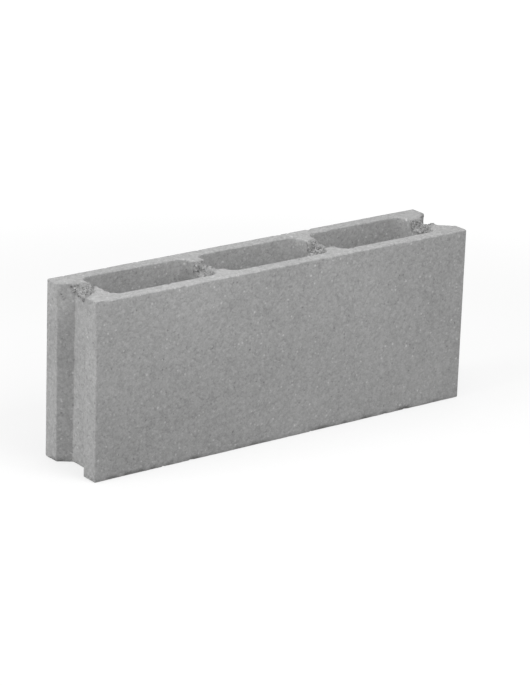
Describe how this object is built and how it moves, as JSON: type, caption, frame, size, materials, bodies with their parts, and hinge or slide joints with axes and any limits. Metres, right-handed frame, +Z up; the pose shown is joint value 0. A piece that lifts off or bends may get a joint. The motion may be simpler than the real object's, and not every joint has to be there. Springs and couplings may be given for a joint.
{
  "type": "hollow concrete block",
  "caption": "Hollow cast concrete building block with a row of tapered vertical cores, grooved ends and a rough core bar notch across the top of its webs.",
  "frame": {"origin": "middle of the bed face that the block stands on", "axes": "+X along the block's length, +Y through its thickness towards the back face, +Z up along the cores"},
  "size_m": [0.5, 0.095, 0.2],
  "materials": {
    "concrete": "matte, fine open grain, as pressed"
  },
  "bodies": {
    "root": {"concrete_block": "concrete"}
  },
  "joints": []
}
